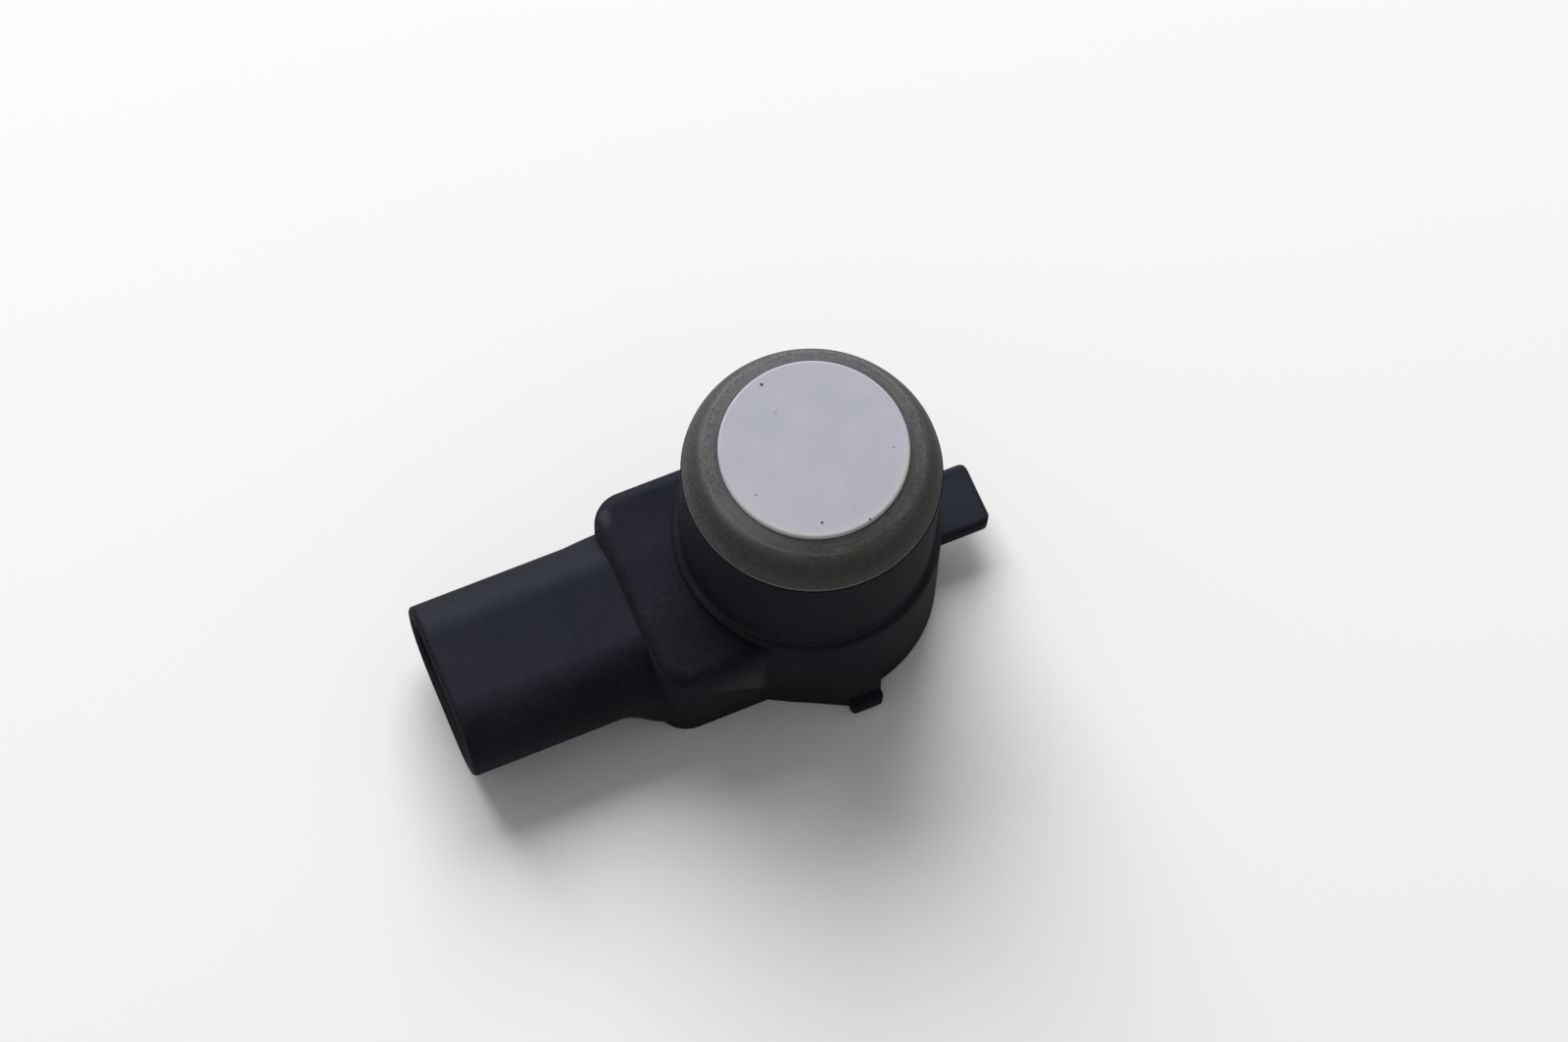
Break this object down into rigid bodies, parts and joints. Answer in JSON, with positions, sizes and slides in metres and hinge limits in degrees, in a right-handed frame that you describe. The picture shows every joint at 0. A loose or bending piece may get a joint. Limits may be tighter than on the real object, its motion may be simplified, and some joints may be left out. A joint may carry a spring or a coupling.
{
  "type": "parking sensor",
  "caption": "Ultrasonic parking sensor: a round tower with a painted membrane in a silicone ring, on a moulded body with a connector hood, an end tab and side latches.",
  "frame": {"origin": "on the tower's axis, in the plane of the flat back", "axes": "+Z along the tower's axis out of the membrane, -X towards the connector's mouth, +X towards the end tab, Y across the body"},
  "size_m": [0.0497, 0.0266, 0.0288],
  "materials": {
    "housing_plastic": "satin",
    "cover_plastic": "matte",
    "membrane_paint": "satin",
    "silicone": "matte",
    "piezo_ceramic": "fired ceramic",
    "foam": "open foam",
    "plug_plastic": "matt",
    "contact_metal": "tinned",
    "copper_wire": "enamelled",
    "board_laminate": "lacquered",
    "chip_case": "moulded",
    "ferrite": "sintered",
    "capacitor_can": "drawn",
    "chip_ceramic": "fired",
    "terminal_tin": "tinned"
  },
  "bodies": {
    "root": {"housing": "housing_plastic", "back_cover": "cover_plastic", "diaphragm_cup": "membrane_paint", "decoupling_ring": "silicone", "piezo_disc": "piezo_ceramic", "damping_foam": "foam", "cup_plug": "plug_plastic", "contact_pin_live": "contact_metal", "contact_pin_ground": "contact_metal", "lead_live": "copper_wire", "lead_ground": "copper_wire", "circuit_board": "board_laminate", "control_chip": "chip_case", "transformer_base": "chip_case", "transformer_core": "ferrite", "transformer_winding": "copper_wire", "storage_capacitor": "capacitor_can", "ceramic_capacitors": "chip_ceramic", "resistors": "chip_case", "terminal_supply": "terminal_tin", "terminal_signal": "terminal_tin", "terminal_ground": "terminal_tin"}
  },
  "joints": []
}
